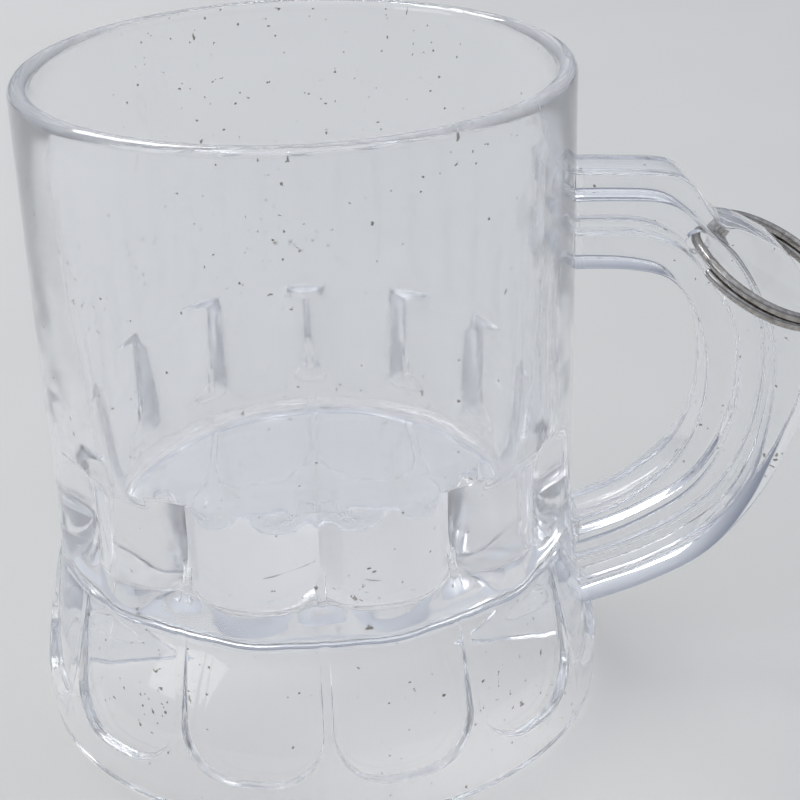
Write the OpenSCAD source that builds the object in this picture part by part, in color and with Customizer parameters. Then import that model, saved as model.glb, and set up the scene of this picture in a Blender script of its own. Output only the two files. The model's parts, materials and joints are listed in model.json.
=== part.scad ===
// Miniature clear mug with a lobed body, a D-shaped handle and a hanging split ring.

/* [Cup] */
// Height from the foot to the rim
height = 54.9; // [50:0.1:60]
// Outer radius at the rim
rim_r = 22; // [21.9:0.1:22.4]
// Wall thickness at the rim
wall = 1.65; // [1.4:0.05:1.8]
// Height of the top of the inner floor
floor_top = 16.5; // [16.2:0.1:18]
// Thickness of the inner floor
floor_t = 2.5; // [1.5:0.1:2.7]

/* [Lobes] */
// Number of lobes round the body
lobes = 12; // [12:1:12]
// Height of the top end of the lobes
lobe_top = 26.9; // [25:0.1:28]
// Radius over the crests of the lobes
crest_r = 21.85; // [21.7:0.05:21.9]
// Radius of each lobe's own curve
lobe_r = 6.4; // [6:0.1:7.5]

/* [Foot] */
// Largest radius of the flared foot
foot_r = 24.05; // [23.9:0.05:24.4]
// Height at which the foot is widest
foot_wide_z = 3.6; // [3:0.1:3.8]
// Height of the lower end of each panel
panel_low = 3.9; // [3.5:0.1:4.5]
// Width of each panel
panel_w = 11.7; // [11:0.1:11.7]

/* [Handle] */
// Width of the rails
handle_w = 5.2; // [4.6:0.1:6]
// Thickness of the web between the rails
web_t = 1.3; // [1:0.1:1.6]
// Distance from the cup's axis to the joint faces
root_x = 22.4; // [22.3:0.05:22.5]
// Diameter of the hole for the split ring
hole_d = 1.9; // [1.8:0.05:2]

/* [Split ring] */
// Diameter of the ring's wire
wire_d = 0.8; // [0.6:0.05:0.8]
// Inner diameter of the ring
ring_d = 12.4; // [12:0.1:12.8]
// Angle below level at which the ring hangs
ring_tilt = 25.5; // [18:0.5:26.5]
// Angle by which the ring leans down toward the front
ring_roll = 14; // [6:1:16]
// Half angle of the step from one turn to the next
step_deg = 32; // [28:1:36]

/* [Hidden] */
$fn = 96;
pitch = 360 / lobes;
rim_round = 0.8;
foot_round = 0.6;
ridge_deg = 1;
cavity_low_r = 18;
recess_top_r = 18.3;
foot_ring_w = 1.8;
panel_round = 4.5;
hole_x = 32.2;
hole_z = 38.55;
anchor_x = 20.9;
ring_r = (ring_d + wire_d) / 2;
turn_level = wire_d / 2 + 0.02;
wire_sides = 12;
wire_steps = 96;
flare_fade = 21;
flare_levels = [foot_wide_z, 6.5, 10, 14.5, 18, flare_fade];

// Radius of the outer flare at a height above its widest place
function flare_r(z) = foot_r - 0.083 * pow(z - foot_wide_z, 1.35);

// A smooth line through a few points, six steps to each stretch.
function spot(p, i) = p[max(0, min(len(p) - 1, i))];
function blend(a, b, c, d, t) =
    0.5 * (2 * b + (c - a) * t + (2 * a - 5 * b + 4 * c - d) * t * t
    + (3 * b - a - 3 * c + d) * t * t * t);
function smooth(p) = concat(
    [for (i = [0 : len(p) - 2], k = [0 : 5])
        blend(spot(p, i - 1), spot(p, i), spot(p, i + 1), spot(p, i + 2), k / 6)],
    [p[len(p) - 1]]);
function reverse(p) = [for (i = [len(p) - 1 : -1 : 0]) p[i]];

// The four edges that bound the handle's rails, from the upper end to the lower one.
outer_edge = smooth([[anchor_x, 45.7], [25, 45.5], [29.6, 45.1], [31.5, 43.8], [32.7, 42],
    [33.9, 40.7], [35.3, 40.3], [37, 39.4], [39.1, 37.9], [40.9, 35.3], [42, 31.5],
    [42.1, 27], [41, 22], [38, 15.7], [33.8, 10.7], [28.9, 8], [23.5, 6.2], [anchor_x, 5.6]]);
web_outer = smooth([[anchor_x, 43.2], [25, 43.1], [29, 42.7], [31.2, 41.4], [33.3, 39.4],
    [35.1, 37.7], [37.2, 34.2], [38.5, 30], [38.6, 25], [37.6, 19.4], [35.4, 15.1],
    [32, 12.4], [27.8, 10.3], [23.2, 8.8], [anchor_x, 8.2]]);
web_inner = smooth([[anchor_x, 40.5], [25, 40.4], [28, 40], [31, 38.3], [33.6, 34.9],
    [35.5, 30.7], [36, 27], [35.5, 23], [33.9, 19.1], [31.6, 16.3], [28.4, 14.3],
    [25, 12.8], [anchor_x, 11.6]]);
finger_edge = smooth([[anchor_x, 37.5], [24, 37.4], [26.8, 37.1], [29.4, 36.3], [31.3, 34.2],
    [32.6, 30.8], [33, 27.5], [32.5, 23.6], [31, 20.4], [29, 18.2], [25.9, 16],
    [anchor_x, 14.2]]);

// ---- Cup ----

// Plain upper wall with a rounded rim
module upper_wall() {
    mid_r = rim_r - wall / 2;
    rotate_extrude($fn = 180)
        union() {
            polygon([[cavity_low_r - 2, lobe_top - 1], [cavity_low_r - 2, lobe_top],
                [rim_r - wall, height - rim_round], [rim_r, height - rim_round],
                [crest_r, lobe_top], [crest_r - 1.5, lobe_top - 1]]);
            translate([mid_r, height - wall / 2]) circle(d = wall, $fn = 48);
        }
}

// One ring of round lobes that closes at the top under the plain wall
module lobe_ring() {
    translate([0, 0, panel_low - 1])
        linear_extrude(lobe_top - panel_low + 1)
            union() {
                circle(r = crest_r - 2);
                for (i = [0 : lobes - 1])
                    rotate((i + 0.5) * pitch) translate([crest_r - lobe_r, 0]) circle(r = lobe_r);
            }
}

// Inner flare that the panels end on, and that fills the grooves
module inner_flare() {
    rotate_extrude($fn = 180)
        polygon([[0, 0.5], [foot_r - 1, 0.5], [foot_r - 0.8, panel_low], [22.55, 9.5], [22, 13],
            [21.75, 16], [21.4, 18], [20.6, 19.5], [19.6, 21], [0, 21]]);
}

// Outer flare of the foot, before the panels are cut, which fades out as ridges in the grooves
module outer_flare() {
    rotate_extrude($fn = 180)
        union() {
            polygon(concat(
                [[0, 0], [foot_r - 0.25 - foot_round, 0], [foot_r - 0.25, foot_round]],
                [for (z = flare_levels) [flare_r(z), z]],
                [[0, flare_fade]]));
            translate([foot_r - 0.25 - foot_round, foot_round]) circle(r = foot_round, $fn = 48);
        }
}

// Outline of one panel, with rounded lower corners
module panel_outline() {
    half = panel_w / 2;
    union() {
        translate([-half, panel_low + panel_round]) square([panel_w, flare_fade]);
        translate([panel_round - half, panel_low]) square([panel_w - 2 * panel_round, flare_fade]);
        for (side = [-1, 1])
            translate([side * (half - panel_round), panel_low + panel_round]) circle(r = panel_round);
    }
}

// Cutter for one panel, as wide as its share of the circle allows
module panel_cutter() {
    reach = foot_r + 2;
    half = pitch / 2 - ridge_deg;
    intersection() {
        rotate([90, 0, 90]) linear_extrude(reach) panel_outline();
        linear_extrude(flare_fade + panel_low + 2)
            polygon([[0, 0], [reach, -reach * tan(half)], [reach, reach * tan(half)]]);
    }
}

// Outside of the cup as one solid
module cup_outside() {
    upper_wall();
    lobe_ring();
    inner_flare();
    difference() {
        outer_flare();
        for (i = [0 : lobes - 1]) rotate((i + 0.5) * pitch) panel_cutter();
    }
}

// Space for the drink
module cavity() {
    rotate_extrude($fn = 180)
        polygon([[0, floor_top], [cavity_low_r - 0.8, floor_top], [cavity_low_r - 0.2, floor_top + 0.2],
            [cavity_low_r, floor_top + 0.8], [rim_r - wall - 1.4, lobe_top],
            [rim_r - wall, height - wall / 2], [rim_r - wall, height + 1], [0, height + 1]]);
}

// Hollow under the floor
module recess() {
    top = floor_top - floor_t;
    rotate_extrude($fn = 180)
        polygon([[0, -1], [foot_r - 0.25 - foot_ring_w + 0.1, -1], [foot_r - 0.25 - foot_ring_w, 0],
            [foot_r - 0.35 - foot_ring_w, 3], [20.6, 9], [recess_top_r + 0.3, top - 1],
            [recess_top_r - 0.6, top], [0, top]]);
}

// Outside of the cup with the stubs that carry the handle
module cup_body() {
    difference() {
        cup_outside();
        handle_seat();
    }
    intersection() {
        handle_bar();
        root_block(0, root_x);
    }
}

module cup() {
    color([0.9, 0.92, 0.93, 0.4])
        difference() {
            cup_body();
            cavity();
            recess();
        }
}

// ---- Handle ----

// Room that spans the handle between two distances from the axis
module root_block(x0, x1) {
    translate([x0, -handle_w, 0]) cube([x1 - x0, 2 * handle_w, height]);
}

// A band between two edges, of a given width, upright in the plane of the handle
module band(edge_a, edge_b, width) {
    rotate([90, 0, 0])
        linear_extrude(width, center = true)
            polygon(concat(edge_a, reverse(edge_b)));
}

// The whole handle section, with two rails and the web between them
module handle_bar() {
    difference() {
        union() {
            band(outer_edge, web_outer, handle_w);
            band(web_inner, finger_edge, handle_w);
            band(outer_edge, finger_edge, web_t);
        }
        translate([hole_x, 0, hole_z])
            rotate([90, 0, 0]) cylinder(h = handle_w, d = hole_d, center = true);
    }
}

// Notch in the flare that takes the lower end of the handle
module handle_seat() {
    intersection() {
        band(outer_edge, finger_edge, handle_w);
        root_block(root_x, foot_r + 2);
    }
}

module handle() {
    color([0.9, 0.92, 0.93, 0.5])
        intersection() {
            handle_bar();
            root_block(root_x, 60);
        }
}

// ---- Split ring ----

// The wire's route in the ring's own plane, by the angle turned from the hole: one turn, a step to
// the other level as the wire passes the hole, and a second turn
function rise(t) = -turn_level + 2 * turn_level * t * t * (3 - 2 * t);
function level(a) = rise(max(0, min(1, (a - 360 + step_deg) / (2 * step_deg))));
function route(a) = [ring_r * (1 - cos(a)), -ring_r * sin(a), level(a)];
function side(a, b) =
    wire_d / 2 * [-cos(b) * cos(a), -cos(b) * sin(a), sin(b)];

module wire() {
    turned = 720 - 2 * step_deg;
    points = [for (i = [0 : wire_steps], k = [0 : wire_sides - 1])
        let (a = step_deg + turned * i / wire_steps)
            route(a) + side(a, 360 * k / wire_sides)];
    walls = [for (i = [0 : wire_steps - 1], k = [0 : wire_sides - 1])
        let (a = i * wire_sides, b = a + wire_sides, n = (k + 1) % wire_sides)
            [a + k, a + n, b + n, b + k]];
    start = [for (k = [wire_sides - 1 : -1 : 0]) k];
    end = [for (k = [0 : wire_sides - 1]) wire_steps * wire_sides + k];
    polyhedron(points, concat(walls, [start, end]));
}

// The ring hangs in the hole and passes round the outer rail
module split_ring() {
    color("silver")
        translate([hole_x, 0, hole_z])
            rotate([0, ring_tilt, 0]) rotate([ring_roll, 0, 0]) wire();
}

cup();
handle();
split_ring();
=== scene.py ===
"""A miniature clear mug with a panelled body, and a split ring that hangs in its handle."""

import json
import math

import bmesh
import bpy
from mathutils import Matrix, Vector


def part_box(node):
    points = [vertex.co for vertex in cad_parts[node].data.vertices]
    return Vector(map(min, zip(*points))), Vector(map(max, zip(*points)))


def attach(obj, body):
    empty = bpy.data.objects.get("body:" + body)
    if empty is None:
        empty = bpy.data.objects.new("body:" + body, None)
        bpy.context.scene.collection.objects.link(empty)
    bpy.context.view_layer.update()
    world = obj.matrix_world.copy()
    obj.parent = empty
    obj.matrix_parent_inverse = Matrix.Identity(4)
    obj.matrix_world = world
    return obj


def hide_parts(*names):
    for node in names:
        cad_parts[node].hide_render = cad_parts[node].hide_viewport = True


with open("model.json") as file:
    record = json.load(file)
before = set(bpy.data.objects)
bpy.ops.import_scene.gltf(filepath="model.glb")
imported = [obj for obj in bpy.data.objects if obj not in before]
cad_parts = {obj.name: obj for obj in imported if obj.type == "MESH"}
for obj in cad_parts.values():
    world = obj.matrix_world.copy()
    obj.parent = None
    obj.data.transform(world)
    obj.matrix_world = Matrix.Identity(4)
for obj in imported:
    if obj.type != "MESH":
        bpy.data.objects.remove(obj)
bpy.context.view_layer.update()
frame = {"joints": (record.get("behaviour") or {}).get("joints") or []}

MM = 0.001

# The cup, in millimetres
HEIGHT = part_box("cup")[1].z / MM
FOOT_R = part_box("cup")[1].y / MM
RIM_R = 22.0
WALL = 1.65
FLOOR_TOP = 16.5
FLOOR_T = 2.5

# The lobes round its body, and the grooves between them
LOBES = 12
LOBE_TOP = 26.9
CREST_R = 21.85
LOBE_R = 6.4
GROOVE_END = 17.4  # height up to which the flare fills the grooves
CEILING_DROP = 0.2  # how far their upper ends lie under the top of the lobes
CEILING_FROM = 0.6  # depth at which they begin to end in a ceiling
FADE_H = 1.2  # height over which their shallower sides fade out

# The panels, the flared foot and the hollow under the floor
PANEL_LOW = 3.9
PANEL_DEG = 14.0
PANEL_SIDE_ROWS = 30
CORNER_R = 4.5
EDGE_IN = 0.18  # reach of a panel's rounded edge, inward
EDGE_OUT = 0.12  # and outward
FOOT_WIDE_Z = 3.6
FOOT_LOW_Z = 1.2  # lower end of the panelled surface
RECESS_R = FOOT_R - 2.05

# The handle
HANDLE_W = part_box("handle")[1].y / MM * 2
WEB_T = 1.3
ROOT_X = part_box("handle")[0].x / MM
HOLE_D = 1.9
CORNER_ROUND = 0.32

# The split ring, which turns about the hole
HOLE = Vector(frame["joints"][0]["pos_m"])
WIRE_D = 0.8
RING_R = 6.6
RING_TILT = 25.5
RING_ROLL = 14.0
STEP_DEG = 32.0  # half the angle of the step from one turn to the next
RING_ROWS = 260
WIRE_SIDES = 24
END_ROUND = 0.12


def mix(a, b, t):
    return a + (b - a) * t


def ease(t):
    t = min(max(t, 0.0), 1.0)
    return t * t * (3 - 2 * t)


def soft_max(a, b, blend):
    """The larger of two values, with a round transition."""
    h = max(blend - abs(a - b), 0.0) / blend
    return max(a, b) + h * h * blend / 4


# ---------------------------------------------------------------- cup shape


# Each function gives a radius at a height, and at an angle from a lobe's crest where it takes one


def wall_r(z):
    """Outside of the plain upper wall."""
    return mix(CREST_R, RIM_R, (z - LOBE_TOP) / (HEIGHT - LOBE_TOP))


def lobe_r(angle, z):
    """Radius of a lobe's surface at an angle from its crest. The shallow sides of a groove fade
    out below its upper end, and only its deep middle ends in a ceiling."""
    centre = CREST_R - LOBE_R
    round_r = centre * math.cos(angle) + math.sqrt(LOBE_R**2 - (centre * math.sin(angle)) ** 2)
    depth = CREST_R - round_r
    kept = ease((depth - CEILING_FROM) / CEILING_FROM)
    return CREST_R - depth * ease(kept + (LOBE_TOP - CEILING_DROP - z) / FADE_H)


def inner_flare_r(z):
    """Radius of the flare under the panels, which fills the grooves up to a soft end."""
    return FOOT_R - 0.38 - 0.105 * z - 0.0011 * z * z - 0.45 * max(0.0, z - GROOVE_END) ** 1.5


def outer_flare_r(z):
    """The foot's own surface, before the panels are sunk into it."""
    if z < FOOT_WIDE_Z:
        return FOOT_R - 0.028 * (FOOT_WIDE_Z - z) ** 2
    return FOOT_R - 0.083 * (z - FOOT_WIDE_Z) ** 1.35


def panel_r(angle, z):
    """The lobes and the flare that they end on, with a softer crease where a groove fills up."""
    crease = mix(0.35, 1.2, ease((z - GROOVE_END) / 2))
    return soft_max(lobe_r(angle, z), inner_flare_r(z), crease)


def outside_r(angle, z):
    """The whole outside below the plain wall, with the foot's flare round the panels."""
    return soft_max(outer_flare_r(z), panel_r(angle, z), 0.15)


def cavity_r(z):
    """Inside of the wall, which tapers faster below the top of the lobes."""
    low = 18.0
    shoulder = RIM_R - WALL - 1.45
    if z < LOBE_TOP:
        return mix(low, shoulder, (z - FLOOR_TOP) / (LOBE_TOP - FLOOR_TOP))
    return mix(shoulder, RIM_R - WALL, (z - LOBE_TOP) / (HEIGHT - LOBE_TOP))


def recess_r(z):
    """Wall of the hollow under the floor."""
    return RECESS_R - 0.022 * z * z


# ---------------------------------------------------------------- cup mesh


def spread(a, b, count):
    """Evenly spaced values from one number to another, both included."""
    return [mix(a, b, i / count) for i in range(count + 1)]


def outline(half_w, low, corner):
    """One side of a nested panel outline, from the top down to the middle of its lower end, as
    points of arc length across and height."""
    centre_z = PANEL_LOW + CORNER_R
    side = [(half_w, z) for z in spread(LOBE_TOP - CEILING_DROP, centre_z, PANEL_SIDE_ROWS)]
    arc = [
        (half_w - corner * (1 - math.cos(a)), centre_z - (centre_z - low) * math.sin(a))
        for a in spread(0, math.pi / 2, 14)
    ][1:]
    flat = [(x, low) for x in spread(half_w - corner, 0, 4)][1:]
    return side + arc + flat


def half_sector_rows():
    """Rows of points of half a sector, from a lobe's crest out to the edge of its share."""
    scale = FOOT_R - 1
    half_w = math.radians(PANEL_DEG) * scale
    edge = math.pi / LOBES
    rows = []
    for k in spread(0, 1, 15)[:-1]:
        low = mix(PANEL_LOW + CORNER_R, PANEL_LOW + EDGE_IN, k)
        line = outline((half_w - EDGE_IN) * k, low, (CORNER_R - EDGE_IN) * k)
        rows.append([(x / scale, z, panel_r(x / scale, z)) for x, z in line])
    # The rounded edge of a panel, from its own surface up to the flare
    inner_steps = [(-EDGE_IN, 0), (-0.1, 0.01), (-0.04, 0.1), (-0.01, 0.32)]
    outer_steps = [(0.02, 0.68), (0.06, 0.92), (EDGE_OUT, 1)]
    for offset, share in inner_steps + outer_steps:
        line = outline(half_w + offset, PANEL_LOW - offset, CORNER_R + offset)
        rows.append(
            [
                (x / scale, z, mix(panel_r(x / scale, z), outside_r(x / scale, z), share))
                for x, z in line
            ]
        )
    # From there out to the edge of the sector, and down to the foot
    last = outline(half_w + EDGE_OUT, PANEL_LOW - EDGE_OUT, CORNER_R + EDGE_OUT)
    sides = PANEL_SIDE_ROWS + 1
    turn = sides + 7
    border = []
    for i, (x, z) in enumerate(last):
        if i < sides:
            border.append((edge * scale, z))
        elif i < turn:
            t = (i - sides + 1) / (turn - sides)
            border.append((edge * scale, mix(PANEL_LOW + CORNER_R, FOOT_LOW_Z, t)))
        else:
            t = (i - turn + 1) / (len(last) - turn)
            border.append((mix(edge * scale, 0, t), FOOT_LOW_Z))
    for k in spread(0, 1, 4)[1:]:
        row = []
        for (x0, z0), (x1, z1) in zip(last, border):
            x, z = mix(x0, x1, k), mix(z0, z1, k)
            row.append((x / scale, z, outside_r(x / scale, z)))
        rows.append(row)
    top = [row[0][0] for row in rows]
    foot = [point[0] for point in rows[-1][turn - 1 :]]
    return rows, top, foot


def around(half):
    """All angles round the cup from the angles of half a sector."""
    sector = sorted(set([round(a, 9) for a in half] + [round(-a, 9) for a in half]))
    pitch = 2 * math.pi / LOBES
    return [a + pitch * (i + 0.5) for i in range(LOBES) for a in sector[:-1]]


def polar(angle, r, z):
    """A point in metres from an angle, and a radius and height in millimetres."""
    return Vector((r * math.cos(angle), r * math.sin(angle), z)) * MM


def add_grid(mesh, rows, closed=False):
    """Faces between matching rows of points, which may run all the way round."""
    verts = [[mesh.verts.new(p) for p in row] for row in rows]
    for a, b in zip(verts, verts[1:]):
        count = len(a)
        for i in range(count if closed else count - 1):
            j = (i + 1) % count
            mesh.faces.new((a[i], a[j], b[j], b[i]))
    return verts


def lathe(mesh, angles, profile, cap=False):
    """A surface of revolution through (radius, height) points, closed at its end by a fan."""
    rows = [[polar(a, r, z) for a in angles] for r, z in profile]
    last = add_grid(mesh, rows, closed=True)[-1]
    if cap:
        tip = mesh.verts.new(Vector((0, 0, profile[-1][1])) * MM)
        for i, v in enumerate(last):
            mesh.faces.new((v, last[(i + 1) % len(last)], tip))


def arc_points(cx, cz, rx, rz, start, end, count):
    return [
        (cx + rx * math.cos(math.radians(a)), cz + rz * math.sin(math.radians(a)))
        for a in spread(start, end, count)
    ]


def build_cup():
    mesh = bmesh.new()
    rows, top, foot = half_sector_rows()
    pitch = 2 * math.pi / LOBES
    for i in range(LOBES):
        crest = (i + 0.5) * pitch
        for side in (-1, 1):
            add_grid(mesh, [[polar(crest + side * a, r, z) for a, z, r in row] for row in rows])

    # Small ceilings that close the grooves under the plain wall
    top_angles = around(top)
    low_z = LOBE_TOP - CEILING_DROP
    wall_low = LOBE_TOP + CEILING_DROP
    # Each row is a share of the way across and a height above the groove's upper end
    ceiling = []
    for across, rise in [(0, 0), (0.04, 0.12), (0.2, 0.18), (0.8, 0.22), (0.96, 0.28), (1, 0.4)]:
        row = []
        for a in top_angles:
            from_crest = (a % pitch) - pitch / 2
            r0 = outside_r(abs(from_crest), low_z)
            row.append(polar(a, mix(r0, wall_r(wall_low), across), low_z + rise))
        ceiling.append(row)
    add_grid(mesh, ceiling, closed=True)

    # Plain wall, rim, cavity and floor
    lip = WALL / 2
    fillet = 0.9
    wall = [(wall_r(z), z) for z in spread(wall_low, HEIGHT - lip, 14)]
    rim = arc_points(RIM_R - lip, HEIGHT - lip, lip, lip, 0, 180, 14)
    inside = [(cavity_r(z), z) for z in spread(HEIGHT - lip, FLOOR_TOP + fillet, 20)]
    corner = arc_points(cavity_r(FLOOR_TOP) - fillet, FLOOR_TOP + fillet, 0.95, fillet, 0, -90, 6)
    floor = [(r, FLOOR_TOP) for r in spread(cavity_r(FLOOR_TOP) - 1.2, 1, 8)]
    lathe(mesh, top_angles, wall + rim[1:] + inside[1:] + corner[1:] + floor, cap=True)

    # Foot, recess and the underside of the floor
    under = FLOOR_TOP - FLOOR_T
    edge = arc_points(FOOT_R - 0.78, 0.6, 0.62, 0.6, 0, -90, 6)
    skirt = [(outside_r(math.pi / LOBES, z), z) for z in (FOOT_LOW_Z, 0.9)]
    inner_edge = arc_points(recess_r(0) + 0.25, 0.25, 0.25, 0.25, -90, -180, 4)
    recess = [(recess_r(z), z) for z in spread(0.25, under - 1, 16)]
    roof_corner = arc_points(recess_r(under - 1) - 1, under - 1, 1, 1, 0, 90, 6)
    roof = [(r, under) for r in spread(recess_r(under) - 1.3, 1, 8)]
    lathe(
        mesh,
        around(foot),
        skirt + edge + inner_edge + recess[1:] + roof_corner[1:] + roof,
        cap=True,
    )
    bmesh.ops.remove_doubles(mesh, verts=mesh.verts, dist=2e-7)
    bmesh.ops.dissolve_degenerate(mesh, edges=mesh.edges, dist=1e-8)
    bmesh.ops.recalc_face_normals(mesh, faces=mesh.faces)
    return to_object(mesh, "clear_cup")


def to_object(mesh, name, smooth=True):
    """A new object in the scene that holds a finished mesh."""
    data = bpy.data.meshes.new(name)
    mesh.to_mesh(data)
    mesh.free()
    for face in data.polygons:
        face.use_smooth = smooth
    piece = bpy.data.objects.new(name, data)
    bpy.context.scene.collection.objects.link(piece)
    return piece


# ---------------------------------------------------------------- handle

# The four edges that bound the handle's rails, in its own plane, from the upper end to the lower
# one. They start and end inside the cup's wall.
ANCHOR_X = ROOT_X - 1.5
OUTER_EDGE = [
    (ANCHOR_X, 45.7), (25, 45.5), (29.6, 45.1), (31.5, 43.8), (32.7, 42), (33.9, 40.7),
    (35.3, 40.3), (37, 39.4), (39.1, 37.9), (40.9, 35.3), (42, 31.5), (42.1, 27), (41, 22),
    (38, 15.7), (33.8, 10.7), (28.9, 8), (23.5, 6.2), (ANCHOR_X, 5.6),
]
WEB_OUTER = [
    (ANCHOR_X, 43.2), (25, 43.1), (29, 42.7), (31.2, 41.4), (33.3, 39.4), (35.1, 37.7),
    (37.2, 34.2), (38.5, 30), (38.6, 25), (37.6, 19.4), (35.4, 15.1), (32, 12.4),
    (27.8, 10.3), (23.2, 8.8), (ANCHOR_X, 8.2),
]
WEB_INNER = [
    (ANCHOR_X, 40.5), (25, 40.4), (28, 40), (31, 38.3), (33.6, 34.9), (35.5, 30.7), (36, 27),
    (35.5, 23), (33.9, 19.1), (31.6, 16.3), (28.4, 14.3), (25, 12.8), (ANCHOR_X, 11.6),
]
FINGER_EDGE = [
    (ANCHOR_X, 37.5), (24, 37.4), (26.8, 37.1), (29.4, 36.3), (31.3, 34.2), (32.6, 30.8),
    (33, 27.5), (32.5, 23.6), (31, 20.4), (29, 18.2), (25.9, 16), (ANCHOR_X, 14.2),
]


def curve_through(points, per_span=12):
    """A smooth open line through a few points in the handle's plane."""
    pts = [Vector(p) for p in [points[0], *points, points[-1]]]
    line = []
    for a, b, c, d in zip(pts, pts[1:], pts[2:], pts[3:]):
        for k in range(per_span):
            t = k / per_span
            bend = (2 * a - 5 * b + 4 * c - d) * t * t + (3 * b - a - 3 * c + d) * t**3
            line.append(0.5 * (2 * b + (c - a) * t + bend))
    line.append(pts[-1])
    return line


def clip_line(line, low_x, high_x):
    """The part of a line between two distances from the cup's axis, with exact ends."""
    kept = []
    for a, b in zip(line, line[1:]):
        for x in sorted((low_x, high_x), reverse=b.x < a.x):
            if min(a.x, b.x) < x < max(a.x, b.x):
                kept.append(a.lerp(b, (x - a.x) / (b.x - a.x)))
        if low_x <= b.x <= high_x:
            kept.append(b)
    if low_x <= line[0].x <= high_x:
        kept.insert(0, line[0])
    return kept


def resample(line, count):
    """The same line as evenly spaced points."""
    marks = [0.0]
    for a, b in zip(line, line[1:]):
        marks.append(marks[-1] + (b - a).length)
    out = []
    at = 0
    for i in range(count + 1):
        want = marks[-1] * i / count
        while at < len(line) - 2 and marks[at + 1] < want:
            at += 1
        span = marks[at + 1] - marks[at]
        out.append(line[at].lerp(line[at + 1], (want - marks[at]) / span if span else 0))
    return out


def round_corners(corners, radius, count=5):
    """A closed outline with each corner rounded."""
    out = []
    for i, p in enumerate(corners):
        a = (corners[i - 1] - p).normalized()
        b = (corners[(i + 1) % len(corners)] - p).normalized()
        for k in range(count):
            t = math.pi / 2 * k / (count - 1)
            out.append(p + radius * (a * (1 - math.sin(t)) + b * (1 - math.cos(t))))
    return out


def bar_section(gaps):
    """The I section, across the rails and the web, as distances from the outer edge."""
    outer, inner = gaps[1], gaps[2]
    end = gaps[3]
    half, web = HANDLE_W / 2, WEB_T / 2
    front = [(0, -half), (outer, -half), (outer, -web), (inner, -web), (inner, -half), (end, -half)]
    back = [(c, -y) for c, y in reversed(front)]
    return round_corners([Vector(p) for p in front + back], CORNER_ROUND)


def build_bar(name, edges):
    """A solid bar of I section between four matching lines."""
    mesh = bmesh.new()
    rows = []
    for points in zip(*edges):
        gaps = [0.0]
        for a, b in zip(points, points[1:]):
            gaps.append(gaps[-1] + (b - a).length)
        row = []
        for c, y in bar_section(gaps):
            at = max(i for i in range(3) if c >= gaps[i] - 1e-9)
            p = points[at].lerp(points[at + 1], (c - gaps[at]) / (gaps[at + 1] - gaps[at]))
            row.append(Vector((p.x, y, p.y)) * MM)
        rows.append(row)
    verts = add_grid(mesh, rows, closed=True)
    for ring in (verts[0], verts[-1]):
        mesh.faces.new(ring)
    bmesh.ops.recalc_face_normals(mesh, faces=mesh.faces)
    return to_object(mesh, name)


def handle_lines():
    """The four edges as smooth lines."""
    return [curve_through(p) for p in (OUTER_EDGE, WEB_OUTER, WEB_INNER, FINGER_EDGE)]


def split_at_far(line):
    """A line's upper and lower halves, which meet at its point furthest from the cup."""
    far = max(range(len(line)), key=lambda i: line[i].x)
    return line[: far + 1], line[far:]


def build_handle():
    edges = []
    for line in handle_lines():
        upper, lower = split_at_far(clip_line(line, ROOT_X + 0.02, 60))
        edges.append(resample(upper, 60) + resample(lower, 60)[1:])
    handle = build_bar("clear_handle", edges)
    drill = cylinder("drill", HOLE_D / 2, HANDLE_W, HOLE)
    combine(handle, drill, "DIFFERENCE")
    return handle


def build_stubs():
    """The two short ends of the bar that belong to the cup."""
    stubs = []
    for name, half in (("upper_stub", 0), ("lower_stub", 1)):
        edges = []
        for line in handle_lines():
            part = clip_line(split_at_far(line)[half], ANCHOR_X, ROOT_X)
            edges.append(resample(part, 4))
        stubs.append(build_bar(name, edges))
    return stubs


def build_seat():
    """The notch in the flare that takes the lower end of the handle."""
    lines = handle_lines()
    outer = clip_line(split_at_far(lines[0])[1], ROOT_X, 30)
    finger = clip_line(split_at_far(lines[3])[1], ROOT_X, 30)
    mesh = bmesh.new()
    gap = 0.02
    rows = []
    for side in (-1, 1):
        row = [Vector((p.x, side * (HANDLE_W / 2 + gap), p.y)) * MM for p in outer + finger[::-1]]
        rows.append(row)
    verts = add_grid(mesh, rows, closed=True)
    for ring in verts:
        mesh.faces.new(ring)
    bmesh.ops.recalc_face_normals(mesh, faces=mesh.faces)
    return to_object(mesh, "seat")


def cylinder(name, radius, length, centre, segments=64):
    mesh = bmesh.new()
    bmesh.ops.create_cone(
        mesh,
        cap_ends=True,
        segments=segments,
        radius1=radius * MM,
        radius2=radius * MM,
        depth=length * MM,
        matrix=Matrix.Translation(centre) @ Matrix.Rotation(math.pi / 2, 4, "X"),
    )
    return to_object(mesh, name)


def combine(piece, tool, operation):
    """Applies one boolean with a tool that is then removed."""
    cut = piece.modifiers.new("cut", "BOOLEAN")
    cut.operation = operation
    cut.solver = "EXACT"
    cut.object = tool
    depsgraph = bpy.context.evaluated_depsgraph_get()
    result = bpy.data.meshes.new_from_object(piece.evaluated_get(depsgraph))
    piece.modifiers.remove(cut)
    piece.data = result
    bpy.data.objects.remove(tool)


def soften(piece, angle_deg=38):
    """Smooth shading, with true edges kept."""
    piece.data.set_sharp_from_angle(angle=math.radians(angle_deg))
    for face in piece.data.polygons:
        face.use_smooth = True


# ---------------------------------------------------------------- split ring


def ring_matrix():
    """Puts the ring's own centre line on the hole, with its tilt and its lean."""
    return (
        Matrix.Translation(HOLE)
        @ Matrix.Rotation(math.radians(RING_TILT), 4, "Y")
        @ Matrix.Rotation(math.radians(RING_ROLL), 4, "X")
    )


def flatten(share):
    """Moves a point of a round section towards the corners of a slightly squarer one."""
    return math.copysign(abs(share) ** 0.85, share)


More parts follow.
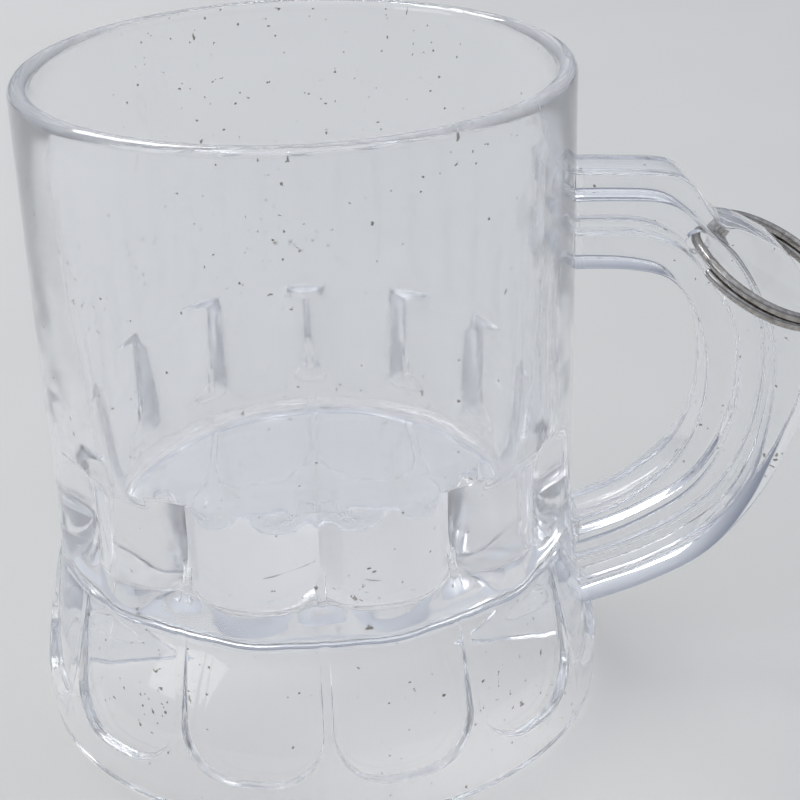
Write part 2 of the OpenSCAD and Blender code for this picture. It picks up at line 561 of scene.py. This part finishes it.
def build_ring():
    """Two turns of wire with a slanting step between them that passes the handle's hole."""
    step = math.radians(STEP_DEG)
    full = 2 * math.pi
    level = WIRE_D / 2 + 0.005
    turns = []
    for a in spread(step, 2 * full - step, RING_ROWS):
        share = ease((a - (full - step)) / (2 * step))
        rise = mix(-level, level, share)
        p = Vector((RING_R * (1 - math.cos(a)), -RING_R * math.sin(a), rise))
        out = Vector((-math.cos(a), -math.sin(a), 0))
        turns.append((p, out))
    mesh = bmesh.new()
    rows = []
    half_r, half_z = WIRE_D / 2, WIRE_D / 2 - 0.01
    for p, out in turns:
        row = []
        for a in spread(0, full, WIRE_SIDES)[:-1]:
            c = flatten(math.cos(a)) * half_r
            s = flatten(math.sin(a)) * half_z
            row.append((p + out * c + Vector((0, 0, s))) * MM)
        rows.append(row)
    # Each end of the wire has a small rounded edge
    lips = []
    for end, inner in ((0, 1), (-1, -2)):
        centre = turns[end][0]
        along = (centre - turns[inner][0]).normalized()
        lips.append([v + (along - (v / MM - centre) * 1.2) * END_ROUND * MM for v in rows[end]])
    verts = add_grid(mesh, [lips[0], *rows, lips[1]], closed=True)
    for ring in (verts[0], verts[-1]):
        mesh.faces.new(ring)
    bmesh.ops.recalc_face_normals(mesh, faces=mesh.faces)
    mesh.transform(ring_matrix())
    return to_object(mesh, "plated_split_ring")


# ---------------------------------------------------------------- materials


class Nodes:
    """A short way to add and link shader nodes."""

    def __init__(self, name):
        self.material = bpy.data.materials.new(name)
        self.material.use_nodes = True
        self.tree = self.material.node_tree
        self.shader = self.tree.nodes["Principled BSDF"]
        self.output = self.tree.nodes["Material Output"]

    def add(self, kind, inputs=None, **settings):
        node = self.tree.nodes.new(kind)
        for key, value in settings.items():
            setattr(node, key, value)
        for key, value in (inputs or {}).items():
            self.put(node, key, value)
        return node

    def put(self, node, key, value):
        if isinstance(value, bpy.types.NodeSocket):
            self.tree.links.new(value, node.inputs[key])
        else:
            node.inputs[key].default_value = value

    def place(self, scale=(1, 1, 1)):
        """Object coordinates in millimetres, stretched by a scale."""
        source = self.add("ShaderNodeTexCoord").outputs["Object"]
        size = tuple(s / MM for s in scale)
        return self.add("ShaderNodeMapping", {"Vector": source, "Scale": size}).outputs["Vector"]

    def noise(self, scale, stretch=(1, 1, 1), detail=4.0, roughness=0.5):
        return self.add(
            "ShaderNodeTexNoise",
            {"Vector": self.place(stretch), "Scale": scale, "Detail": detail, "Roughness": roughness},
        ).outputs["Fac"]

    def remap(self, value, low, high, out_low, out_high):
        return self.add(
            "ShaderNodeMapRange",
            {"Value": value, "From Min": low, "From Max": high, "To Min": out_low, "To Max": out_high},
        ).outputs["Result"]

    def math(self, operation, a, b):
        node = self.add("ShaderNodeMath", {0: a, 1: b}, operation=operation)
        return node.outputs["Value"]

    def mix_colour(self, share, a, b):
        # Inputs 6 and 7 and output 2 are the ones that hold colours
        node = self.add("ShaderNodeMix", data_type="RGBA")
        for index, value in ((0, share), (6, a), (7, b)):
            self.put(node, index, value)
        return node.outputs[2]


def clear_plastic():
    """Clear moulded plastic with crowded specks of dirt, a faint haze and slow ripples."""
    n = Nodes("clear_plastic")
    shader = n.shader
    shader.inputs["IOR"].default_value = 1.58
    shader.inputs["Transmission Weight"].default_value = 0.965
    crowd = n.remap(n.noise(0.09, detail=1.0), 0.45, 0.7, 0.0, 0.07)
    specks = n.remap(n.math("ADD", n.noise(1.7, detail=2.0), crowd), 0.755, 0.775, 0.0, 1.0)
    clear, dirt = (0.985, 0.988, 0.998, 1), (0.10, 0.08, 0.06, 1)
    n.put(shader, "Base Color", n.mix_colour(specks, clear, dirt))
    haze = n.remap(n.noise(0.35, detail=5.0), 0.4, 0.75, 0.02, 0.075)
    n.put(shader, "Roughness", haze)
    flow = n.noise(0.16, stretch=(1, 1, 0.45), detail=1.5)
    bump = n.add("ShaderNodeBump", {"Height": flow, "Distance": 0.00018, "Strength": 0.35})
    n.put(shader, "Normal", bump.outputs["Normal"])
    # Most light passes on to the floor, so that the shadow is a pale one
    light = n.add("ShaderNodeLightPath").outputs["Is Shadow Ray"]
    share = n.math("MULTIPLY", light, 0.88)
    through = n.add("ShaderNodeBsdfTransparent", {"Color": (0.97, 0.97, 0.98, 1)})
    mixed = n.add("ShaderNodeMixShader", {0: share, 1: shader.outputs[0], 2: through.outputs[0]})
    n.tree.links.new(mixed.outputs[0], n.output.inputs["Surface"])
    return n.material


def plated_steel():
    """Bright plating, worn darker and rougher in patches."""
    n = Nodes("plated_steel")
    shader = n.shader
    shader.inputs["Metallic"].default_value = 1.0
    wear = n.remap(n.noise(1.6, detail=6.0), 0.35, 0.7, 0.0, 1.0)
    bright, worn = (0.52, 0.50, 0.48, 1), (0.30, 0.27, 0.24, 1)
    n.put(shader, "Base Color", n.mix_colour(wear, bright, worn))
    n.put(shader, "Roughness", n.remap(wear, 0.0, 1.0, 0.12, 0.26))
    grain = n.noise(9.0, detail=3.0)
    bump = n.add("ShaderNodeBump", {"Height": grain, "Distance": 0.000006, "Strength": 0.3})
    n.put(shader, "Normal", bump.outputs["Normal"])
    return n.material


def floor_material():
    n = Nodes("floor")
    tone = n.remap(n.noise(0.02, detail=2.0), 0.3, 0.7, 0.0, 1.0)
    n.put(n.shader, "Base Color", n.mix_colour(tone, (0.60, 0.59, 0.565, 1), (0.62, 0.61, 0.585, 1)))
    n.shader.inputs["Roughness"].default_value = 0.7
    return n.material


# ---------------------------------------------------------------- camera and light


CAMERA_AT = Vector((0, -143.8, 93.2)) * MM
CAMERA_LENS = 85.0


def make_camera():
    camera = bpy.data.objects.new("camera", bpy.data.cameras.new("camera"))
    camera.data.lens = CAMERA_LENS
    camera.data.clip_start = 0.01
    pitch, yaw, roll = math.radians(25.16), math.radians(2.97), math.radians(1.79)
    turn = (
        Matrix.Rotation(-yaw, 4, "Z")
        @ Matrix.Rotation(math.pi / 2 - pitch, 4, "X")
        @ Matrix.Rotation(-roll, 4, "Z")
    )
    camera.matrix_world = Matrix.Translation(CAMERA_AT) @ turn
    bpy.context.scene.collection.objects.link(camera)
    bpy.context.scene.camera = camera


def make_floor():
    mesh = bmesh.new()
    bmesh.ops.create_grid(mesh, x_segments=1, y_segments=1, size=1.5)
    floor = to_object(mesh, "floor", smooth=False)
    floor.location.z = -0.00005
    floor.data.materials.append(floor_material())


def area_light(name, place, size, power):
    lamp = bpy.data.lights.new(name, "AREA")
    lamp.shape = "RECTANGLE"
    lamp.size, lamp.size_y = size
    lamp.energy = power
    light = bpy.data.objects.new(name, lamp)
    light.location = place
    light.rotation_euler = (-Vector(place)).to_track_quat("-Z", "Y").to_euler()
    bpy.context.scene.collection.objects.link(light)


def make_light():
    """Two soft lamps, and a sky that is dark at the horizon so that clear edges show."""
    area_light("ceiling", (-0.3, 0.3, 0.6), (0.3, 0.3), 2.1)
    area_light("side", (-0.5, -0.2, 0.35), (0.3, 0.3), 0.5)
    world = bpy.data.worlds.new("studio")
    world.use_nodes = True
    tree = world.node_tree
    sky = tree.nodes["Background"]
    place = tree.nodes.new("ShaderNodeTexCoord")
    split = tree.nodes.new("ShaderNodeSeparateXYZ")
    shade = tree.nodes.new("ShaderNodeValToRGB")
    shade.color_ramp.elements[0].color = (0.15, 0.17, 0.24, 1)
    shade.color_ramp.elements[1].color = (0.88, 0.93, 1.0, 1)
    tree.links.new(place.outputs["Generated"], split.inputs[0])
    tree.links.new(split.outputs["Z"], shade.inputs["Fac"])
    tree.links.new(shade.outputs["Color"], sky.inputs["Color"])
    sky.inputs["Strength"].default_value = 0.95
    scene = bpy.context.scene
    scene.world = world
    scene.cycles.max_bounces = 24
    scene.cycles.glossy_bounces = 16
    scene.cycles.transmission_bounces = 20
    scene.view_settings.view_transform = "Standard"


# ---------------------------------------------------------------- assembly

make_camera()
make_floor()
make_light()

plastic = clear_plastic()
cup = build_cup()
for stub in build_stubs():
    combine(cup, stub, "UNION")
combine(cup, build_seat(), "DIFFERENCE")
handle = build_handle()
ring = build_ring()

for piece, node, body, material, slot in (
    (cup, "cup", "mug", plastic, "clear_plastic"),
    (handle, "handle", "mug", plastic, "clear_plastic"),
    (ring, "split_ring", "ring", plated_steel(), "plated_steel"),
):
    piece.data.materials.clear()
    piece.data.materials.append(material)
    soften(piece)
    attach(piece, body)
    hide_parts(node)
